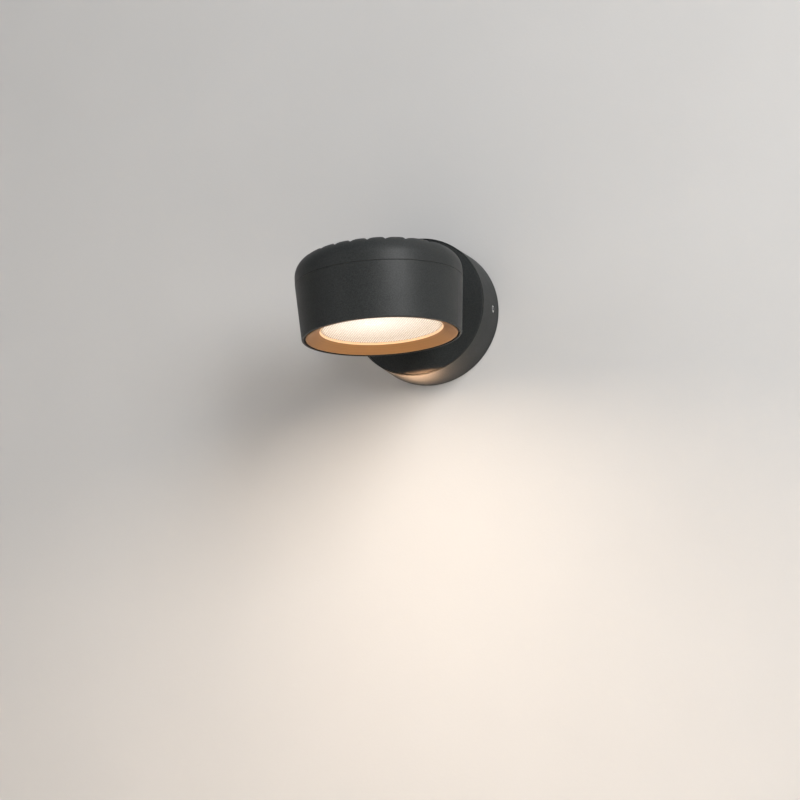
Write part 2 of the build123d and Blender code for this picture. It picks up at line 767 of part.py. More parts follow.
def seam_seal():
    inner = seal_groove_inner + seal_clearance
    outer = seal_groove_outer - seal_clearance
    ring = rod_z(outer, seam_z, seam_z + seal_groove_depth - seal_clearance)
    ring -= rod_z(inner, seam_z, seam_z + seal_groove_depth - seal_clearance)
    return on_head(ring)


def head_screws():
    seat = seam_z - seam_flange_thickness
    length = seam_flange_thickness + head_screw_grip - edge_round
    screw = pan_screw(small_screw_radius - thread_clearance, small_head_radius, small_head_height, length)
    screws = []
    for angle in head_screw_angles():
        screws.append(on_head(Rot(0, 0, angle) * Pos(head_screw_circle, 0, seat) * screw))
    return Compound(screws)


# ---------------------------------------------------------------- head: light
def trim_ring():
    """Copper-coloured cone round the lens, with a skirt that screws into the drum."""
    edge_low = lens_recess - trim_edge_height
    outer = bore_radius - trim_clearance
    cone_end = outer - trim_outer_flat
    slope = (edge_low - trim_mouth_gap) / (cone_end - window_radius)
    skirt_top = shelf_z - mouth_z - trim_skirt_gap
    pocket = lens_radius + lens_clearance
    skirt_inner = outer - trim_wall
    back_low = trim_mouth_gap + slope * (cone_end - skirt_inner) + trim_wall
    pocket_outer = pocket + trim_wall
    pocket_back = back_low + slope * (skirt_inner - pocket_outer)
    ring = turned([
        (window_radius, edge_low), (cone_end, trim_mouth_gap), (outer, trim_mouth_gap),
        (outer, skirt_top), (skirt_inner, skirt_top), (skirt_inner, back_low),
        (pocket_outer, pocket_back), (pocket_outer, lens_recess + lens_thickness),
        (pocket, lens_recess + lens_thickness), (pocket, lens_recess), (window_radius, lens_recess),
    ])
    return on_head(Pos(0, 0, mouth_z) * ring)


def lens():
    disc = rod_z(lens_radius, lens_z, lens_z + lens_thickness)
    return on_head(disc)


def lens_gasket():
    low = lens_z + lens_thickness
    outer = lens_radius
    inner = outer - lens_gasket_width
    return on_head(rod_z(outer, low, shelf_z) - rod_z(inner, low, shelf_z))


def mixing_reflector():
    """White cone that spreads the light from the chip over the lens."""
    low = shelf_top_z
    top = holder_z - reflector_gap
    wall = reflector_wall
    edge = reflector_bottom_radius + reflector_flange_width
    neck = holder_opening - reflector_holder_gap
    cone = turned([
        (reflector_bottom_radius, low), (edge, low), (edge, low + wall),
        (reflector_bottom_radius + wall, low + wall), (neck + wall, top), (neck, top),
    ])
    return on_head(cone)


def thermal_pad():
    pad = rod_z(board_radius, seam_z - pad_thickness, seam_z)
    return on_head(pad - source_screw_holes(seam_z - pad_thickness, seam_z))


def source_screw_holes(low, high):
    holes = [rod_z(small_screw_radius + thread_clearance, low, high, side * holder_screw_circle)
             for side in (-1, 1)]
    return holes[0] + holes[1]


def led_board():
    board = rod_z(board_radius, board_z, board_z + board_thickness)
    return on_head(board - source_screw_holes(board_z, board_z + board_thickness))


def led_chip():
    half = chip_square / 2
    plate = block(-half, half, -half, half, board_z - chip_thickness / 2, board_z)
    dome = rod_z(chip_radius, board_z - chip_thickness, board_z - chip_thickness / 2)
    return on_head(plate + dome)


def led_holder():
    ring = rod_z(holder_radius, holder_z, board_z) - rod_z(holder_opening, holder_z, board_z)
    half = chip_square / 2 + holder_socket_gap
    ring -= block(-half, half, -half, half, board_z - chip_thickness / 2 - thread_clearance, board_z)
    ring -= source_screw_holes(holder_z, board_z)
    for side in (-1, 1):
        ring -= rod_z(holder_screw_head + thread_clearance, holder_z, holder_z + holder_screw_head_height,
                      side * holder_screw_circle)
    return on_head(ring)


def holder_screws():
    seat = holder_z + holder_screw_head_height
    length = seam_z + source_screw_grip - edge_round - seat
    radius = small_screw_radius - thread_clearance
    screw = pan_screw(radius, holder_screw_head, holder_screw_head_height, length)
    return Compound([on_head(Pos(side * holder_screw_circle, 0, seat) * screw) for side in (-1, 1)])


def lead_gland():
    """Rubber sleeve where the lead enters the head."""
    gland = rod_y(gland_radius - thread_clearance, foot_back_y, gland_end_y, -ear_middle, hinge_z)
    return gland - rod_y(lead_radius + thread_clearance, foot_back_y, gland_end_y, -ear_middle, hinge_z)


def head_lead():
    """The lead from the tilt axis into the head and down to the light source."""
    inside_y = head_y + seat_radius + lead_drop_gap
    low = board_z - lead_radius - running_clearance
    contact_y = head_y + sqrt(holder_radius ** 2 - (ear_middle - lead_radius) ** 2) + running_clearance
    return tube_along(
        lead_radius, lead_bend,
        (-pivot_radius - lead_joint_gap, hinge_y, hinge_z), (-ear_middle, hinge_y, hinge_z),
        (-ear_middle, inside_y, hinge_z), (-ear_middle, inside_y, low), (-ear_middle, contact_y, low),
    )


# ---------------------------------------------------------------- build and write
nodes = {
    "wall_bracket": wall_bracket,
    "base_ring": base_ring,
    "base_front": base_front,
    "wall_gasket": wall_gasket,
    "grub_screws": grub_screws,
    "cable_grommet": cable_grommet,
    "led_driver": led_driver,
    "driver_screws": driver_screws,
    "terminal_block": terminal_block,
    "terminal_screws": terminal_screws,
    "earth_tag": earth_tag,
    "earth_screw": earth_screw,
    "front_screws": front_screws,
    "mains_leads": mains_leads,
    "driver_lead": driver_lead,
    "swivel_bush": swivel_bush,
    "stop_pin": stop_pin,
    "swivel_disc": swivel_disc,
    "flange_seal": flange_seal,
    "swivel_arm": swivel_arm,
    "spring_washer": spring_washer,
    "stop_washer": stop_washer,
    "swivel_nut": swivel_nut,
    "tilt_discs": tilt_discs,
    "arm_lead": arm_lead,
    "tilt_fork": tilt_fork,
    "pivot_tube": pivot_tube,
    "pivot_caps": pivot_caps,
    "fork_screws": fork_screws,
    "head_drum": head_drum,
    "heat_sink": heat_sink,
    "seam_seal": seam_seal,
    "head_screws": head_screws,
    "trim_ring": trim_ring,
    "lens": lens,
    "lens_gasket": lens_gasket,
    "mixing_reflector": mixing_reflector,
    "thermal_pad": thermal_pad,
    "led_board": led_board,
    "led_chip": led_chip,
    "led_holder": led_holder,
    "holder_screws": holder_screws,
    "lead_gland": lead_gland,
    "head_lead": head_lead,
}

os.makedirs("parts", exist_ok=True)
for name, make in nodes.items():
    export_step(make(), f"parts/{name}.step")
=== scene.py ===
import json
from math import cos, pi, radians, sin, sqrt
import bpy
from mathutils import Matrix, Vector


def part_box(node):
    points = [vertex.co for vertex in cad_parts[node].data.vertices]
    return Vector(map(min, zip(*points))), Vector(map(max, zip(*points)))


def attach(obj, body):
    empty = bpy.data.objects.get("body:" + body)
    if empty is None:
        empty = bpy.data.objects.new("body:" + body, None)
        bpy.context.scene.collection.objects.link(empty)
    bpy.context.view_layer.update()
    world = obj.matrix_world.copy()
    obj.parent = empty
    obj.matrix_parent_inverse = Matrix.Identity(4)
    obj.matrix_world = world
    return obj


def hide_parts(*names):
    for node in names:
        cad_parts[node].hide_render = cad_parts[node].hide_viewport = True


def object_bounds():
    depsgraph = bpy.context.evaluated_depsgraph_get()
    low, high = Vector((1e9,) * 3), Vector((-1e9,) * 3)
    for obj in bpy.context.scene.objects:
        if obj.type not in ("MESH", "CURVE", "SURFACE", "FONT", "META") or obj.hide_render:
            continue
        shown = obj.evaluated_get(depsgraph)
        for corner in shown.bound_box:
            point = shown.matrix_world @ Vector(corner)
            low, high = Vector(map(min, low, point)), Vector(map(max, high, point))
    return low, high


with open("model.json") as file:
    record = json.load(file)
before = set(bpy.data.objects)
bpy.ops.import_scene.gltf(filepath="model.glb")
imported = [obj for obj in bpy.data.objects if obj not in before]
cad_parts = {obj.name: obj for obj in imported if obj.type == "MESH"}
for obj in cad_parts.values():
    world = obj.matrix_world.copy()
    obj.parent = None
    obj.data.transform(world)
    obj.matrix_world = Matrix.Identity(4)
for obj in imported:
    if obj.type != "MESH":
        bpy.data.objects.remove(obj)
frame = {"nodes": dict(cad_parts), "record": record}
cad_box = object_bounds()

# The looks of a pivoting spotlight wall light, in metres, in the frame of its CAD model:
# the wall is the plane y = 0, the lamp stands out of it towards -Y, and +Z is up.
MM = 0.001

# ---------------------------------------------------------------- places read from the frame
drum_low, drum_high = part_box("head_drum")
sink_low, sink_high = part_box("heat_sink")
fork_low, fork_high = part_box("tilt_fork")
lens_low, lens_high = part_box("lens")
grub_low, grub_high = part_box("grub_screws")

head_axis = Vector(((drum_low.x + drum_high.x) / 2, (drum_low.y + drum_high.y) / 2, 0))
seam_z = drum_high.z
head_radius = (sink_high.x - sink_low.x) / 2
lens_radius = (lens_high.x - lens_low.x) / 2
trim_opening = min((Vector((corner.co.x, corner.co.y, 0)) - head_axis).length
                   for corner in frame["nodes"]["trim_ring"].data.vertices)
grub_axis_y = (grub_low.y + grub_high.y) / 2
grub_radius = (grub_high.y - grub_low.y) / 2
grub_rise = -(grub_high.z - grub_radius) / grub_high.x    # slope of the line through both screws

# ---------------------------------------------------------------- sizes of the ribbed top
SHOULDER_RADIUS = 14.3 * MM    # big rounding from the side to the flat top
RIB_COUNT = 10                 # ribs that run from front to back
RIB_RADIUS = 6.5 * MM
GROOVE_END = 57 * MM           # the ribs' grooves run out inside this radius
SEAM_CHAMFER = 0.3 * MM
CREASE_SOFTNESS = 0.18 * MM    # rounding of the cast valleys
CREST_SOFTNESS = 0.35 * MM     # rounding of the ribs' ends
CAVITY_WALL = 10 * MM          # between the head's side and the hollow under the top
CAVITY_HEIGHT = 12 * MM
PILLAR_RADIUS = 30 * MM        # stands in the hollow and carries the light source
PAD_CLEARANCE = 0.15 * MM
PAD_OVER_SEAM = (2.15 * MM, 14.45 * MM)    # pocket's floor and pad's top, for the hinge's fork
OVERCUT = 1 * MM               # how far a cut starts outside what it cuts
TOP_SHARP = radians(38)        # edges steeper than this stay sharp

# The skin of the ribbed top is one grid. Its columns fan round the head, and its rows go from the
# middle line over the top, the shoulder and the seam's chamfer, and back in along the bottom.
SKIN_COLUMNS = 361
SKIN_ROWS = 221
TOP_END = 0.62                 # shares of a half row
SHOULDER_END = 0.86
WALL_END = 0.90
CHAMFER_END = 0.93
ROW_NUDGE = 1e-4               # keeps the shoulder's last row with the shoulder
CROWDING = 1.7                 # rows lie closer together towards the shoulder
CREST_LIFT = 0.3               # keeps the smooth dome above the crests inside the shoulder
WELD_DISTANCE = 0.004 * MM
DRUM_SIDES = 128

# ---------------------------------------------------------------- sizes of the prism lens
PRISM_PITCH = 1.7 * MM
PRISM_DEPTH = 0.5 * MM
PRISM_MARGIN = 2.9 * MM        # plain rim of the lens, held by the trim ring
PRISM_TURN = radians(33)
LENS_SIDES = 160
LENS_SHARP = radians(12)

# ---------------------------------------------------------------- the lit lens
HOT_OFFSET = 16 * MM           # the brightest spot lies this far in front of the axis
HOT_RADIUS = 6 * MM
GLOW_REACH = 44 * MM           # from the brightest spot to where the lens is dimmest
LAST_PRISMS = (trim_opening - 2.4 * MM, trim_opening - 1.0 * MM)    # the dark last row
LENS_SLANT = (0.35, 0.75)      # a prism's face is dimmed between these slants
OUTWARD_DIM = (0.25, 0.4)      # dimming away from the hot spot: face on, and added on a slant
SLANT_DIM = 0.3
LAST_DIM = (0.45, 0.8)         # dimming of the last row: face on, and added on a slant
PAINTED_GLOW_LIP = 0.7 * MM             # width of the trim's inner edge that gets a painted glow, as if the lens lit it up

# ---------------------------------------------------------------- the grub screws' sockets
SOCKET_RADIUS = 1.6 * MM
SOCKET_EDGE = (0.92, 1.05)     # the painted shade in the socket ends between these shares of its radius

# ---------------------------------------------------------------- the photograph's camera
CAMERA_PLACE = Vector((554.8, -1637.3, -449.0)) * MM
CAMERA_YAW = radians(-19.63)
CAMERA_PITCH = radians(12.58)
CAMERA_ROLL = radians(-3.2)
CAMERA_LENS = 106.1            # millimetres, as is the sensor's width
CAMERA_SENSOR = 36

# ---------------------------------------------------------------- the studio
WALL_COLOUR = (0.61, 0.605, 0.595)
FLOOR_COLOUR = (0.72, 0.71, 0.69)
PAINT_MOTTLE = 0.97            # the paint's darker patches, as a share of its colour
PAINT_ROUGHNESS = 0.9
STAGE_SIZE = 8.0
FLOOR_DROP = 0.9
WALL_GAP = 0.2 * MM            # keeps the wall clear of the lamp's back face
CONTACT_GAP = 4 * MM           # nearer than this the wall lets light through to the lamp's back

SKY_COLOUR = (0.93, 0.95, 1.0)
SKY_STRENGTH = 0.19
STUDIO_LIGHTS = (              # name, place, width and height, watts
    ("key", (1.25, -1.35, 0.5), (0.6, 1.3), 29),
    ("fill", (-1.2, -1.5, 0.5), (0.7, 1.4), 3),
    ("top", (0.6, -0.5, 1.7), (1.0, 0.6), 3.2),
)

# ---------------------------------------------------------------- the lamp's own light
GLOW_RADIUS = 43.1 * MM
BEAM_SPREAD = radians(150)     # the prisms hold the beam back from the level
POOL_SPREAD = radians(166)     # wider, so that the pool starts right under the base
LENS_GLOW = (0.34, (1.0, 0.71, 0.43))      # watts and colour, here on the lamp itself
BASE_GLOW = (26, (1.0, 0.52, 0.25))        # on the base's lower edge
WALL_GLOW = (12.5, (1.0, 0.80, 0.62))      # on the wall and floor
WALL_BOUNCE = (0.36, (1.0, 0.60, 0.35))    # back from the wall, on the base's side
BOUNCE_RADIUS = 50 * MM        # bright patch of wall under the base, which lights it from below
BOUNCE_ASIDE = 0.4 * BOUNCE_RADIUS
BOUNCE_DROP = 1.2 * BOUNCE_RADIUS
BOUNCE_OFF_WALL = 1 * MM

# ---------------------------------------------------------------- noise
NOISE_CORE = (0.35, 0.65)      # most of a fine noise lies between these values
NOISE_BODY = (0.3, 0.7)        # nearly all of a broad noise lies between these


# ---------------------------------------------------------------- node helpers
class Term:
    """A socket that takes part in arithmetic: every sign or function adds one Math node."""

    def __init__(self, tree, socket):
        self.tree = tree
        self.socket = socket

    def maths(self, operation, *others):
        node = self.tree.nodes.new("ShaderNodeMath")
        node.operation = operation
        for socket, value in zip(node.inputs, (self, *others)):
            if isinstance(value, Term):
                self.tree.links.new(value.socket, socket)
            else:
                socket.default_value = value
        return Term(self.tree, node.outputs[0])

    def __add__(self, other):
        return self.maths("ADD", other)

    def __sub__(self, other):
        return self.maths("SUBTRACT", other)

    def __mul__(self, other):
        return self.maths("MULTIPLY", other)

    def __truediv__(self, other):
        return self.maths("DIVIDE", other)

    def above(self, other):
        return self.maths("GREATER_THAN", other)

    def highest(self, other):
        return self.maths("MAXIMUM", other)

    def root(self):
        return self.maths("SQRT")

    def rest(self):
        """What is missing to 1."""
        return self * -1 + 1

    def length(self, other):
        """Hypotenuse over this value and another."""
        return (self * self + other * other).root()

    def share(self, low, high):
        """0 at low, 1 at high, and held between them."""
        node = self.tree.nodes.new("ShaderNodeMapRange")
        for name, value in (("Value", self), ("From Min", low), ("From Max", high)):
            if isinstance(value, Term):
                self.tree.links.new(value.socket, node.inputs[name])
            else:
                node.inputs[name].default_value = value
        return Term(self.tree, node.outputs["Result"])


def add_node(tree, kind, **settings):
    """New node with these properties."""
    node = tree.nodes.new(kind)
    for name, value in settings.items():
        setattr(node, name, value)
    return node


def feed(tree, node, **values):
    """Sets or links a node's inputs by name, with _ for a space."""
    for name, value in values.items():
        socket = node.inputs[name.replace("_", " ")]
        if isinstance(value, Term):
            tree.links.new(value.socket, socket)
        elif isinstance(value, bpy.types.NodeSocket):
            tree.links.new(value, socket)
        else:
            socket.default_value = value
    return node


def object_place(tree):
    """Object coordinates, which stay with a piece as it moves."""
    return add_node(tree, "ShaderNodeTexCoord").outputs["Object"]


def parts_of(tree, vector):
    """The X, Y and Z of a vector."""
    split = add_node(tree, "ShaderNodeSeparateXYZ")
    feed(tree, split, Vector=vector)
    return [Term(tree, split.outputs[name]) for name in ("X", "Y", "Z")]


def new_tree(name, kind, inputs, outputs):
    """Node group with named inputs, given as name: (socket type, default), and outputs."""
    tree = bpy.data.node_groups.new(name, kind)
    for label, (socket_type, default) in inputs.items():
        socket = tree.interface.new_socket(label, in_out="INPUT", socket_type=socket_type)
        if default is not None:
            socket.default_value = default
    for label, socket_type in outputs.items():
        tree.interface.new_socket(label, in_out="OUTPUT", socket_type=socket_type)
    entry = add_node(tree, "NodeGroupInput")
    leave = add_node(tree, "NodeGroupOutput")
    terms = {label: Term(tree, entry.outputs[label]) for label in inputs}
    return tree, terms, leave


# ---------------------------------------------------------------- shader groups
def grain_group():
    """Fine even grain, as on powder coat and moulded plastic, with a broad soft mottle."""
    tree, value, leave = new_tree(
        "fine_grain", "ShaderNodeTree",
        {"Grain Size": ("NodeSocketFloat", 0.4 * MM), "Mottle Size": ("NodeSocketFloat", 20 * MM)},
        {"Height": "NodeSocketFloat", "Grain": "NodeSocketFloat", "Mottle": "NodeSocketFloat"},
    )
    place = object_place(tree)
    one = Term(tree, add_node(tree, "ShaderNodeValue").outputs[0])
    one.socket.default_value = 1.0
    fine = add_node(tree, "ShaderNodeTexNoise")
    feed(tree, fine, Vector=place, Scale=one / value["Grain Size"], Detail=2.0, Roughness=0.6)
    broad = add_node(tree, "ShaderNodeTexNoise")
    feed(tree, broad, Vector=place, Scale=one / value["Mottle Size"], Detail=3.0)
    grain = Term(tree, fine.outputs["Fac"])
    mottle = Term(tree, broad.outputs["Fac"])
    tree.links.new(grain.socket, leave.inputs["Height"])
    tree.links.new(grain.share(*NOISE_CORE).socket, leave.inputs["Grain"])
    tree.links.new(mottle.share(*NOISE_BODY).socket, leave.inputs["Mottle"])
    return tree


def turned_group():
    """Fine rings round a vertical axis, as a lathe leaves them."""
    tree, value, leave = new_tree(
        "turned_rings", "ShaderNodeTree",
        {"Centre X": ("NodeSocketFloat", 0.0), "Centre Y": ("NodeSocketFloat", 0.0),
         "Ring Pitch": ("NodeSocketFloat", 0.3 * MM)},
        {"Height": "NodeSocketFloat", "Rings": "NodeSocketFloat", "Radius": "NodeSocketFloat"},
    )
    x, y, z = parts_of(tree, object_place(tree))
    radius = (x - value["Centre X"]).length(y - value["Centre Y"])
    noise = add_node(tree, "ShaderNodeTexNoise", noise_dimensions="1D")
    feed(tree, noise, W=(radius + z) / value["Ring Pitch"], Scale=1.0, Detail=2.0)
    rings = Term(tree, noise.outputs["Fac"])
    tree.links.new(rings.socket, leave.inputs["Height"])
    tree.links.new(rings.share(*NOISE_BODY).socket, leave.inputs["Rings"])
    tree.links.new(radius.socket, leave.inputs["Radius"])
    return tree


GRAIN = grain_group()
TURNED = turned_group()


# ---------------------------------------------------------------- material helpers
def new_material(name):
    """Material, its tree and its shader."""
    material = bpy.data.materials.new(name)
    material.use_nodes = True
    tree = material.node_tree
    return material, tree, tree.nodes["Principled BSDF"]


def placed_group(tree, group, **values):
    """A shader group in this tree, with its own values."""
    node = add_node(tree, "ShaderNodeGroup", node_tree=group)
    return feed(tree, node, **values)


def between(tree, mask, low, high):
    """Colour that runs from low to high with a mask."""
    node = add_node(tree, "ShaderNodeMix", data_type="RGBA")
    tree.links.new(mask, node.inputs["Factor"])
    ends = [socket for socket in node.inputs if socket.type == "RGBA"]
    for socket, colour in zip(ends, (low, high)):
        socket.default_value = (*colour, 1)
    return next(socket for socket in node.outputs if socket.type == "RGBA")


def ranged(tree, mask, low, high):
    """Value that runs from low to high with a mask."""
    return (Term(tree, mask) * (high - low) + low).socket


def bumped(tree, shader, height, distance):
    """Fine relief of this depth."""
    bump = add_node(tree, "ShaderNodeBump")
    feed(tree, bump, Height=height, Distance=distance, Strength=1.0)
    tree.links.new(bump.outputs["Normal"], shader.inputs["Normal"])


def grained(name, low, high, roughness, grain_size, bump,
            metallic=0.0, mottle_size=25 * MM, gloss=0.5):
    """Surface with a fine grain: colours and roughness between two limits."""
    material, tree, shader = new_material(name)
    shader.inputs["Specular IOR Level"].default_value = gloss
    shader.inputs["Metallic"].default_value = metallic
    grain = placed_group(tree, GRAIN, Grain_Size=grain_size, Mottle_Size=mottle_size)
    colour = between(tree, grain.outputs["Grain"], low, high)
    tree.links.new(colour, shader.inputs["Base Color"])
    rough = ranged(tree, grain.outputs["Mottle"], *roughness)
    tree.links.new(rough, shader.inputs["Roughness"])
    bumped(tree, shader, grain.outputs["Height"], bump)
    return material


# ---------------------------------------------------------------- materials, one per slot
def black_coat():
    """Fine-textured matt powder coat, a slightly green anthracite."""
    return grained("black_coat", (0.016, 0.018, 0.018), (0.030, 0.033, 0.033),
                   roughness=(0.46, 0.54), grain_size=0.8 * MM, bump=0.08 * MM, gloss=0.32)


def copper_trim():
    """Satin copper-toned anodising over a turned cone, with a painted glow on its inner lip where
    the lens would light it.
    """
    material, tree, shader = new_material("copper_trim")
    turned = placed_group(tree, TURNED, Centre_X=head_axis.x, Centre_Y=head_axis.y,
                          Ring_Pitch=0.25 * MM)
    rings = turned.outputs["Rings"]
    colour = between(tree, rings, (0.36, 0.18, 0.066), (0.43, 0.222, 0.088))
    tree.links.new(colour, shader.inputs["Base Color"])
    tree.links.new(ranged(tree, rings, 0.36, 0.44), shader.inputs["Roughness"])
    shader.inputs["Metallic"].default_value = 0.85
    radius = Term(tree, turned.outputs["Radius"])
    # painted glow: the inner lip emits warm light of its own, standing in for light from the lens
    lip = radius.share(trim_opening + PAINTED_GLOW_LIP, trim_opening + PAINTED_GLOW_LIP / 2)
    painted_lip_glow = between(tree, lip.socket, (0.0, 0.0, 0.0), (0.90, 0.64, 0.40))
    tree.links.new(painted_lip_glow, shader.inputs["Emission Color"])
    shader.inputs["Emission Strength"].default_value = 0.85
    bumped(tree, shader, turned.outputs["Height"], 0.006 * MM)
    return material


def lens_prism():
    """Warm light behind fine prisms: white-hot in one spot, cream towards the edge."""
    material, tree, shader = new_material("lens_prism")
    hot = placed_group(tree, TURNED, Centre_X=head_axis.x, Centre_Y=head_axis.y - HOT_OFFSET,
                       Ring_Pitch=3 * MM)
    rim = placed_group(tree, TURNED, Centre_X=head_axis.x, Centre_Y=head_axis.y)
    slant = Term(tree, add_node(tree, "ShaderNodeLayerWeight").outputs["Facing"])
    facet = slant.share(*LENS_SLANT)
    outward = Term(tree, hot.outputs["Radius"]).share(HOT_RADIUS, GLOW_REACH)
    last = Term(tree, rim.outputs["Radius"]).share(*LAST_PRISMS)
    dim = (outward * (facet * OUTWARD_DIM[1] + OUTWARD_DIM[0])
           + facet * SLANT_DIM
           + last * (facet * LAST_DIM[1] + LAST_DIM[0]))
    light = between(tree, dim.share(0.0, 1.0).socket, (1.0, 0.93, 0.83), (0.34, 0.20, 0.10))
    tree.links.new(light, shader.inputs["Emission Color"])
    shader.inputs["Emission Strength"].default_value = 0.86
    shell = between(tree, outward.socket, (0.40, 0.38, 0.35), (0.34, 0.30, 0.25))
    tree.links.new(shell, shader.inputs["Base Color"])
    tree.links.new(ranged(tree, hot.outputs["Rings"], 0.22, 0.28), shader.inputs["Roughness"])
    return material


def plated_steel():
    return grained("plated_steel", (0.58, 0.58, 0.60), (0.68, 0.68, 0.70),
                   roughness=(0.24, 0.34), grain_size=0.25 * MM, bump=0.006 * MM,
                   metallic=1.0, mottle_size=8 * MM)


def brass_bright():
    return grained("brass_bright", (0.70, 0.50, 0.22), (0.80, 0.60, 0.30),
                   roughness=(0.24, 0.34), grain_size=0.25 * MM, bump=0.006 * MM,
                   metallic=1.0, mottle_size=6 * MM)


def rubber_black():
    return grained("rubber_black", (0.018, 0.018, 0.018), (0.030, 0.030, 0.030),
                   roughness=(0.72, 0.84), grain_size=0.3 * MM, bump=0.02 * MM)


def gasket_foam():
    return grained("gasket_foam", (0.050, 0.050, 0.052), (0.105, 0.105, 0.108),
                   roughness=(0.85, 0.95), grain_size=0.8 * MM, bump=0.12 * MM)


def bearing_plastic():
    return grained("bearing_plastic", (0.78, 0.76, 0.70), (0.84, 0.82, 0.76),
                   roughness=(0.34, 0.44), grain_size=0.5 * MM, bump=0.008 * MM)


def driver_plastic():
    return grained("driver_plastic", (0.74, 0.74, 0.73), (0.80, 0.80, 0.79),
                   roughness=(0.50, 0.60), grain_size=0.5 * MM, bump=0.03 * MM)


def block_plastic():
    return grained("block_plastic", (0.82, 0.81, 0.77), (0.88, 0.87, 0.83),
                   roughness=(0.36, 0.46), grain_size=0.6 * MM, bump=0.012 * MM)


def reflector_white():
    return grained("reflector_white", (0.86, 0.86, 0.85), (0.90, 0.90, 0.89),
                   roughness=(0.55, 0.65), grain_size=0.4 * MM, bump=0.01 * MM)


def holder_plastic():
    return grained("holder_plastic", (0.80, 0.80, 0.78), (0.86, 0.86, 0.84),
                   roughness=(0.44, 0.54), grain_size=0.5 * MM, bump=0.015 * MM)


def board_white():
    return grained("board_white", (0.80, 0.80, 0.78), (0.86, 0.86, 0.84),
                   roughness=(0.28, 0.38), grain_size=0.8 * MM, bump=0.008 * MM)


def chip_phosphor():
    return grained("chip_phosphor", (0.86, 0.66, 0.16), (0.94, 0.76, 0.24),
                   roughness=(0.30, 0.40), grain_size=0.4 * MM, bump=0.02 * MM)


def pad_grey():
    return grained("pad_grey", (0.40, 0.41, 0.43), (0.48, 0.49, 0.51),
                   roughness=(0.66, 0.76), grain_size=0.6 * MM, bump=0.02 * MM)


def lead_sheath():
    return grained("lead_sheath", (0.045, 0.045, 0.046), (0.070, 0.070, 0.072),
                   roughness=(0.44, 0.54), grain_size=0.3 * MM, bump=0.01 * MM)


def mains_sheath():
    return grained("mains_sheath", (0.16, 0.07, 0.035), (0.22, 0.10, 0.05),
                   roughness=(0.38, 0.48), grain_size=0.3 * MM, bump=0.008 * MM)


def grub_steel():
    """Plated steel with painted shade in its hexagon socket."""
    material, tree, shader = new_material("grub_steel")
    grain = placed_group(tree, GRAIN, Grain_Size=0.25 * MM, Mottle_Size=6 * MM)
    x, y, z = parts_of(tree, object_place(tree))
    # painted shade: inside the socket's radius the base colour is near black, standing in for the
    # shade in the recess
    off_axis = (y - grub_axis_y).length(z - x * grub_rise)
    outside = off_axis.share(*(part * SOCKET_RADIUS for part in SOCKET_EDGE))
    bright = Term(tree, ranged(tree, grain.outputs["Grain"], 0.85, 1.0))
    colour = between(tree, (outside * bright).socket, (0.015, 0.015, 0.016), (0.88, 0.88, 0.90))
    tree.links.new(colour, shader.inputs["Base Color"])
    tree.links.new(ranged(tree, grain.outputs["Mottle"], 0.30, 0.40), shader.inputs["Roughness"])
    shader.inputs["Metallic"].default_value = 1.0
    bumped(tree, shader, grain.outputs["Height"], 0.006 * MM)
    return material


MAKERS = (
    black_coat, copper_trim, lens_prism, plated_steel, brass_bright, rubber_black, gasket_foam,
    bearing_plastic, driver_plastic, block_plastic, reflector_white, holder_plastic, board_white,
    chip_phosphor, pad_grey, lead_sheath, mains_sheath, grub_steel,
)
materials = {make.__name__: make() for make in MAKERS}
NODE_FINISH = {"grub_screws": "grub_steel"}    # nodes that don't take the finish of their slot


def finish_cad_nodes():
    """Every node of the frame gets its procedural finish."""
    for row in frame["record"]["subparts"]:
        node = frame["nodes"][row["node"]]
        finish = materials[NODE_FINISH.get(row["node"], row["material_slot"])]
        if not node.data.materials:
            node.data.materials.append(finish)
        for slot in node.material_slots:
            slot.material = finish


# ---------------------------------------------------------------- geometry trees
def geometry_tree(name, inputs):
    """Geometry Nodes tree that makes a shape from its named inputs alone."""
    every = {"Geometry": ("NodeSocketGeometry", None), **inputs,
             "Material": ("NodeSocketMaterial", None)}
    return new_tree(name, "GeometryNodeTree", every, {"Geometry": "NodeSocketGeometry"})


def close_tree(tree, value, leave, mesh):
    """Ends a tree in real, finished geometry."""
    real = add_node(tree, "GeometryNodeRealizeInstances")
    tree.links.new(mesh, real.inputs["Geometry"])
    paint = add_node(tree, "GeometryNodeSetMaterial")
    feed(tree, paint, Geometry=real.outputs["Geometry"], Material=value["Material"])
    tree.links.new(paint.outputs["Geometry"], leave.inputs["Geometry"])


def grown(name, tree, finish, sharp_angle):
    """Plain mesh object that a geometry tree makes, in this finish."""
    start = bpy.data.objects.new(name + "_start", bpy.data.meshes.new(name + "_start"))
    bpy.context.scene.collection.objects.link(start)
    modifier = start.modifiers.new("grow", "NODES")
    modifier.node_group = tree
    for item in tree.interface.items_tree:
        if item.in_out == "INPUT" and item.name == "Material":
            modifier[item.identifier] = finish
    bpy.context.view_layer.update()
    result = start.evaluated_get(bpy.context.evaluated_depsgraph_get())
    mesh = bpy.data.meshes.new_from_object(result)
    mesh.name = name
    start.modifiers.remove(modifier)
    bpy.data.objects.remove(start)
    mesh.polygons.foreach_set("use_smooth", [True] * len(mesh.polygons))
    mesh.set_sharp_from_angle(angle=sharp_angle)
    piece = bpy.data.objects.new(name, mesh)
    bpy.context.scene.collection.objects.link(piece)
    return piece


def grid_point(tree):
    """The two coordinates of a grid's points."""
    return parts_of(tree, add_node(tree, "GeometryNodeInputPosition").outputs["Position"])[:2]


def moved(tree, geometry, **values):
    """Geometry that is moved or turned."""
    place = add_node(tree, "GeometryNodeTransform")
    feed(tree, place, Geometry=geometry, **values)
    return place.outputs["Geometry"]


def brick(tree, low, high):
    """Box between two corners."""
    cube = add_node(tree, "GeometryNodeMeshCube")
    feed(tree, cube, Size=high - low)
    return moved(tree, cube.outputs["Mesh"], Translation=(low + high) / 2)


def on_head_axis(z):
    """Place on the head's axis at this height."""
    return Vector((head_axis.x, head_axis.y, z))


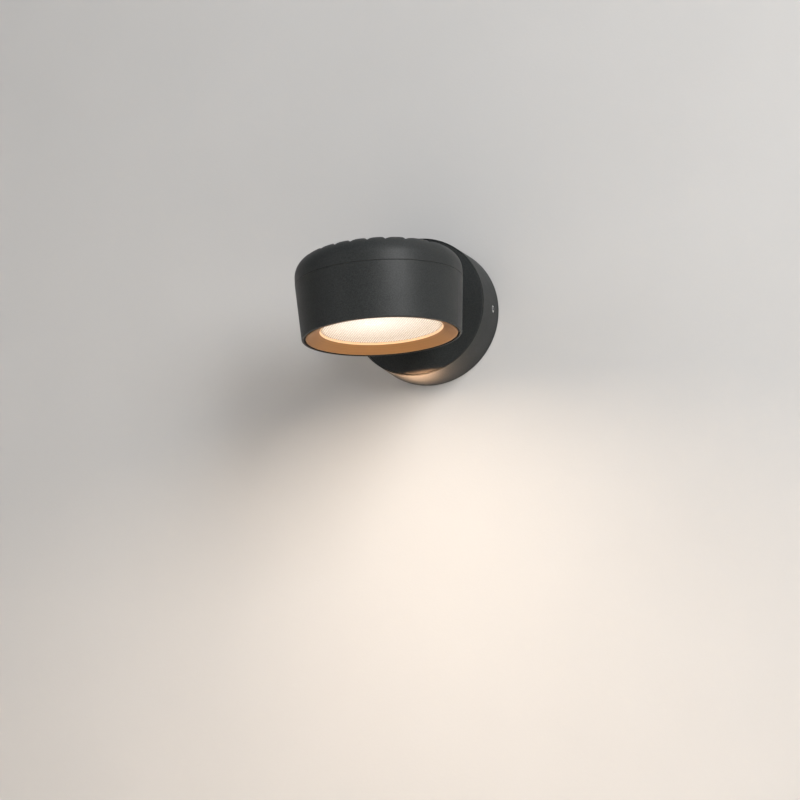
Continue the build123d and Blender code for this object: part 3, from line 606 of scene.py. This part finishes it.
def drum_at(tree, radius, low_z, high_z):
    """Upright cylinder on the head's axis."""
    cylinder = add_node(tree, "GeometryNodeMeshCylinder")
    feed(tree, cylinder, Vertices=DRUM_SIDES, Radius=radius, Depth=high_z - low_z)
    return moved(tree, cylinder.outputs["Mesh"], Translation=on_head_axis((low_z + high_z) / 2))


def joined(tree, *solids):
    """One solid of several that overlap."""
    node = add_node(tree, "GeometryNodeMeshBoolean", operation="UNION", solver="EXACT")
    for solid in solids:
        tree.links.new(solid, node.inputs["Mesh 2"])
    return node.outputs["Mesh"]


def cut(tree, body, *tools):
    """A solid without the tools' shapes."""
    node = add_node(tree, "GeometryNodeMeshBoolean", operation="DIFFERENCE", solver="EXACT")
    tree.links.new(body, node.inputs["Mesh 1"])
    for tool in tools:
        tree.links.new(tool, node.inputs["Mesh 2"])
    return node.outputs["Mesh"]


def ribbed_skin(tree, value):
    """Closed outside of the ribbed top, drawn on one grid."""
    grid = add_node(tree, "GeometryNodeMeshGrid")
    feed(tree, grid, Size_X=2.0, Size_Y=2.0, Vertices_X=value["Columns"], Vertices_Y=value["Rows"])
    column, row = grid_point(tree)    # each from -1 to 1
    angle = column.rest() * (pi / 2)
    half_row = row.maths("ABSOLUTE")
    side = row.maths("SIGN")
    shoulder = value["Shoulder Radius"]
    flat_radius = value["Head Radius"] - shoulder
    wall_top = value["Top Height"] - shoulder

    first_lean = ((flat_radius * -1 + GROOVE_END) / shoulder).maths("ARCCOSINE")
    lean = first_lean * half_row.share(TOP_END, SHOULDER_END).rest()
    down_wall = half_row.share(SHOULDER_END, WALL_END)
    chamfer = half_row.share(WALL_END, CHAMFER_END)
    inward = half_row.share(CHAMFER_END, 1.0)
    arc = flat_radius + shoulder * lean.maths("COSINE") - chamfer * SEAM_CHAMFER
    reach = arc * inward.rest()
    outward = half_row.share(0.0, TOP_END).rest().maths("POWER", CROWDING).rest()
    x = reach * angle.maths("COSINE")
    y = reach * angle.maths("SINE") * side * outward

    radius = x.length(y)
    beyond_flat = (radius - flat_radius).highest(0.0)
    inside_flat = (flat_radius - radius).highest(0.0)
    round_top = wall_top + (shoulder * shoulder - beyond_flat * beyond_flat).highest(0.0).root()
    dome = round_top + inside_flat * CREST_LIFT
    pitch = value["Rib Pitch"]
    from_crest = ((x / pitch).maths("FRACT") - 0.5).maths("ABSOLUTE") * pitch
    soft = pitch / 2 - (pitch / 2 - from_crest).length(value["Crease Softness"])
    rib = value["Rib Radius"]
    ribs = value["Top Height"] - rib + (rib * rib - soft * soft).highest(0.0).root()
    skin = (ribs + dome - (ribs - dome).length(value["Crest Softness"])) * 0.5    # the lower one
    below = half_row.above(SHOULDER_END + ROW_NUDGE)
    foot = wall_top - (wall_top - SEAM_CHAMFER) * down_wall - chamfer * SEAM_CHAMFER
    z = skin * below.rest() + foot * below

    join = add_node(tree, "ShaderNodeCombineXYZ")
    feed(tree, join, X=x + head_axis.x, Y=y + head_axis.y, Z=z + seam_z)
    place = add_node(tree, "GeometryNodeSetPosition")
    feed(tree, place, Geometry=grid.outputs["Mesh"], Position=join.outputs["Vector"])
    weld = add_node(tree, "GeometryNodeMergeByDistance")
    feed(tree, weld, Geometry=place.outputs["Geometry"], Distance=WELD_DISTANCE)
    return weld.outputs["Geometry"]


def ribbed_top_tree():
    """The ribbed skin, with the pad and pocket for the hinge's fork and the hollow below."""
    tree, value, leave = geometry_tree("ribbed_top", {
        "Columns": ("NodeSocketInt", SKIN_COLUMNS),
        "Rows": ("NodeSocketInt", SKIN_ROWS),
        "Head Radius": ("NodeSocketFloat", head_radius),
        "Top Height": ("NodeSocketFloat", sink_high.z - seam_z),
        "Shoulder Radius": ("NodeSocketFloat", SHOULDER_RADIUS),
        "Rib Pitch": ("NodeSocketFloat", 2 * head_radius / RIB_COUNT),
        "Rib Radius": ("NodeSocketFloat", RIB_RADIUS),
        "Crease Softness": ("NodeSocketFloat", CREASE_SOFTNESS),
        "Crest Softness": ("NodeSocketFloat", CREST_SOFTNESS),
    })
    cavity_radius = head_radius - CAVITY_WALL
    pad_side = fork_high.x + 2 * PAD_CLEARANCE
    floor, pad_top = (seam_z + height for height in PAD_OVER_SEAM)
    pad = brick(tree, Vector((-pad_side, head_axis.y + cavity_radius, floor + PAD_CLEARANCE)),
                Vector((pad_side, fork_low.y, pad_top)))
    solid = joined(tree, ribbed_skin(tree, value), pad)
    window = brick(tree, Vector((fork_low.x - PAD_CLEARANCE, fork_low.y, floor)),
                   Vector((fork_high.x + PAD_CLEARANCE, 0, sink_high.z + OVERCUT)))
    hollow = drum_at(tree, cavity_radius, seam_z - OVERCUT, seam_z + CAVITY_HEIGHT)
    pillar = drum_at(tree, PILLAR_RADIUS, seam_z - 2 * OVERCUT, seam_z + 2 * CAVITY_HEIGHT)
    close_tree(tree, value, leave, cut(tree, solid, window, cut(tree, hollow, pillar)))
    return tree


def prism_field(tree, value):
    """Pyramids on a square grid inside the lens's plain rim, tips down."""
    across = value["Radius"] * 2
    count = across / value["Prism Pitch"]
    field = add_node(tree, "GeometryNodeMeshGrid")
    feed(tree, field, Size_X=across, Size_Y=across, Vertices_X=count, Vertices_Y=count)
    points = add_node(tree, "GeometryNodeMeshToPoints")
    feed(tree, points, Mesh=field.outputs["Mesh"])
    x, y = grid_point(tree)
    outside = x.length(y).above(value["Radius"] - value["Plain Rim"])
    trim = add_node(tree, "GeometryNodeDeleteGeometry")
    feed(tree, trim, Geometry=points.outputs["Points"], Selection=outside)
    prism = add_node(tree, "GeometryNodeMeshCone", fill_type="NONE")
    feed(tree, prism, Vertices=4, Radius_Top=0.0,
         Radius_Bottom=value["Prism Pitch"] * sqrt(0.5), Depth=value["Prism Depth"])
    tip_down = moved(tree, prism.outputs["Mesh"], Rotation=(pi, 0, pi / 4))
    scatter = add_node(tree, "GeometryNodeInstanceOnPoints")
    feed(tree, scatter, Points=trim.outputs["Geometry"], Instance=tip_down)
    turn = add_node(tree, "ShaderNodeCombineXYZ")
    feed(tree, turn, Z=value["Turn"])
    return moved(tree, scatter.outputs["Instances"], Rotation=turn.outputs["Vector"],
                 Translation=on_head_axis(lens_low.z))


def prism_lens_tree():
    """The lens's disc with its field of prisms."""
    tree, value, leave = geometry_tree("prism_lens", {
        "Radius": ("NodeSocketFloat", lens_radius),
        "Thickness": ("NodeSocketFloat", lens_high.z - lens_low.z),
        "Prism Pitch": ("NodeSocketFloat", PRISM_PITCH),
        "Prism Depth": ("NodeSocketFloat", PRISM_DEPTH),
        "Plain Rim": ("NodeSocketFloat", PRISM_MARGIN),
        "Turn": ("NodeSocketFloat", PRISM_TURN),
    })
    disc = add_node(tree, "GeometryNodeMeshCylinder")
    feed(tree, disc, Vertices=LENS_SIDES, Radius=value["Radius"], Depth=value["Thickness"])
    middle = on_head_axis((lens_low.z + lens_high.z) / 2)
    together = add_node(tree, "GeometryNodeJoinGeometry")
    tree.links.new(moved(tree, disc.outputs["Mesh"], Translation=middle),
                   together.inputs["Geometry"])
    tree.links.new(prism_field(tree, value), together.inputs["Geometry"])
    close_tree(tree, value, leave, together.outputs["Geometry"])
    return tree


# ---------------------------------------------------------------- pieces
def ribbed_top():
    """Cast ribbed top with softly rounded valleys and rib ends."""
    piece = grown("ribbed_top", ribbed_top_tree(), materials["black_coat"], TOP_SHARP)
    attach(piece, "head")
    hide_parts("heat_sink")


def prism_lens():
    """Lens with a field of small pyramids on its lower face."""
    piece = grown("prism_lens", prism_lens_tree(), materials["lens_prism"], LENS_SHARP)
    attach(piece, "head")
    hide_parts("lens")


# ---------------------------------------------------------------- stage, lights and camera
def one_sided(name, colour):
    """Pale paint that is seen from its front only, so that no view is blocked by it."""
    material, tree, shader = new_material(name)
    grain = placed_group(tree, GRAIN, Grain_Size=2 * MM, Mottle_Size=150 * MM)
    darker = [PAINT_MOTTLE * channel for channel in colour]
    paint = between(tree, grain.outputs["Mottle"], darker, colour)
    tree.links.new(paint, shader.inputs["Base Color"])
    shader.inputs["Roughness"].default_value = PAINT_ROUGHNESS
    bumped(tree, shader, grain.outputs["Height"], 0.05 * MM)
    clear = add_node(tree, "ShaderNodeBsdfTransparent")
    back = Term(tree, add_node(tree, "ShaderNodeNewGeometry").outputs["Backfacing"])
    path = add_node(tree, "ShaderNodeLightPath")
    shadow = Term(tree, path.outputs["Is Shadow Ray"])
    near = Term(tree, path.outputs["Ray Length"]).above(CONTACT_GAP).rest()
    mix = add_node(tree, "ShaderNodeMixShader")
    tree.links.new(back.highest(shadow).highest(near).socket, mix.inputs["Fac"])
    tree.links.new(shader.outputs["BSDF"], mix.inputs[1])
    tree.links.new(clear.outputs["BSDF"], mix.inputs[2])
    tree.links.new(mix.outputs["Shader"], tree.nodes["Material Output"].inputs["Surface"])
    return material


def stage_plane(name, corners, material):
    """Flat rectangle of the stage."""
    mesh = bpy.data.meshes.new(name)
    mesh.from_pydata(corners, [], [(0, 1, 2, 3)])
    mesh.materials.append(material)
    plane = bpy.data.objects.new(name, mesh)
    bpy.context.scene.collection.objects.link(plane)
    return plane


def stage():
    """Plain wall behind the lamp and plain floor far below it."""
    half = STAGE_SIZE / 2
    back = cad_box[1].y + WALL_GAP
    low = -FLOOR_DROP
    wall = [(-half, back, low), (half, back, low), (half, back, half), (-half, back, half)]
    floor = [(-half, -half, low), (half, -half, low), (half, back, low), (-half, back, low)]
    return [stage_plane("wall", wall, one_sided("wall_paint", WALL_COLOUR)),
            stage_plane("floor", floor, one_sided("floor_paint", FLOOR_COLOUR))]


def soft_light(name, place, size, power):
    """Large soft lamp of the studio, turned towards the head."""
    light = bpy.data.lights.new(name, "AREA")
    light.shape = "RECTANGLE"
    light.size, light.size_y = size
    light.energy = power
    lamp = bpy.data.objects.new(name, light)
    lamp.location = place
    lamp.rotation_mode = "QUATERNION"
    lamp.rotation_quaternion = (on_head_axis(0) - Vector(place)).to_track_quat("-Z", "Y")
    bpy.context.scene.collection.objects.link(lamp)


def lights():
    """Plain sky and the studio's lamps."""
    world = bpy.data.worlds.new("studio")
    world.use_nodes = True
    sky = world.node_tree.nodes["Background"]
    sky.inputs["Color"].default_value = (*SKY_COLOUR, 1)
    sky.inputs["Strength"].default_value = SKY_STRENGTH
    bpy.context.scene.world = world
    for name, place, size, power in STUDIO_LIGHTS:
        soft_light(name, place, size, power)


def glow(name, power, colour, objects, linked="INCLUDE", radius=GLOW_RADIUS, beam=pi):
    """Part of the lamp's own light, for these objects only or for all the others. It is a disc
    under the lens and rides on the head."""
    light = bpy.data.lights.new(name, "AREA")
    light.shape = "DISK"
    light.size = 2 * radius
    light.energy = power
    light.color = colour
    light.spread = beam
    lamp = bpy.data.objects.new(name, light)
    lamp.location = on_head_axis(lens_low.z - 2 * PRISM_DEPTH)
    lamp.visible_camera = False
    bpy.context.scene.collection.objects.link(lamp)
    lit = bpy.data.collections.new(name + "_on")
    for item in objects:
        lit.objects.link(item)
    for entry in lit.collection_objects:
        entry.light_linking.link_state = linked
    lamp.light_linking.receiver_collection = lit
    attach(lamp, "head")
    return lamp


def even_with_distance(light):
    """A light that is as strong far off as close by."""
    light.use_nodes = True
    tree = light.node_tree
    falloff = add_node(tree, "ShaderNodeLightFalloff")
    feed(tree, falloff, Strength=1)
    tree.links.new(falloff.outputs["Constant"], tree.nodes["Emission"].inputs["Strength"])


def own_light(planes):
    """Light from the lens on the lamp, on its base and, as one even pool, on the wall."""
    base_ring, base_front = (frame["nodes"][name] for name in ("base_ring", "base_front"))
    glow("lens_glow", *LENS_GLOW, planes, "EXCLUDE", beam=BEAM_SPREAD)
    glow("base_glow", *BASE_GLOW, (base_ring, base_front), beam=BEAM_SPREAD)
    bounce = glow("wall_bounce", *WALL_BOUNCE, (base_ring,), radius=BOUNCE_RADIUS)
    bounce.location = (-BOUNCE_ASIDE, cad_box[1].y - BOUNCE_OFF_WALL, cad_box[0].z - BOUNCE_DROP)
    bounce.rotation_euler = (-pi / 2, 0, 0)
    pool = glow("wall_glow", *WALL_GLOW, planes, beam=POOL_SPREAD)
    even_with_distance(pool.data)


def camera():
    """The photograph's viewpoint, solved from its ellipses."""
    yaw = Vector((sin(CAMERA_YAW), cos(CAMERA_YAW), 0))
    forward = yaw * cos(CAMERA_PITCH) + Vector((0, 0, sin(CAMERA_PITCH)))
    level = forward.cross(Vector((0, 0, 1))).normalized()
    upright = level.cross(forward)
    right = level * cos(CAMERA_ROLL) + upright * sin(CAMERA_ROLL)
    up = upright * cos(CAMERA_ROLL) - level * sin(CAMERA_ROLL)
    data = bpy.data.cameras.new("photo_view")
    data.sensor_width = CAMERA_SENSOR
    data.lens = CAMERA_LENS
    view = bpy.data.objects.new("photo_view", data)
    turn = Matrix((right, up, -forward)).transposed()
    view.matrix_world = Matrix.Translation(CAMERA_PLACE) @ turn.to_4x4()
    bpy.context.scene.collection.objects.link(view)
    bpy.context.scene.camera = view


# ---------------------------------------------------------------- the scene
finish_cad_nodes()
ribbed_top()
prism_lens()
lights()
own_light(stage())
camera()
bpy.context.scene.view_settings.view_transform = "Standard"
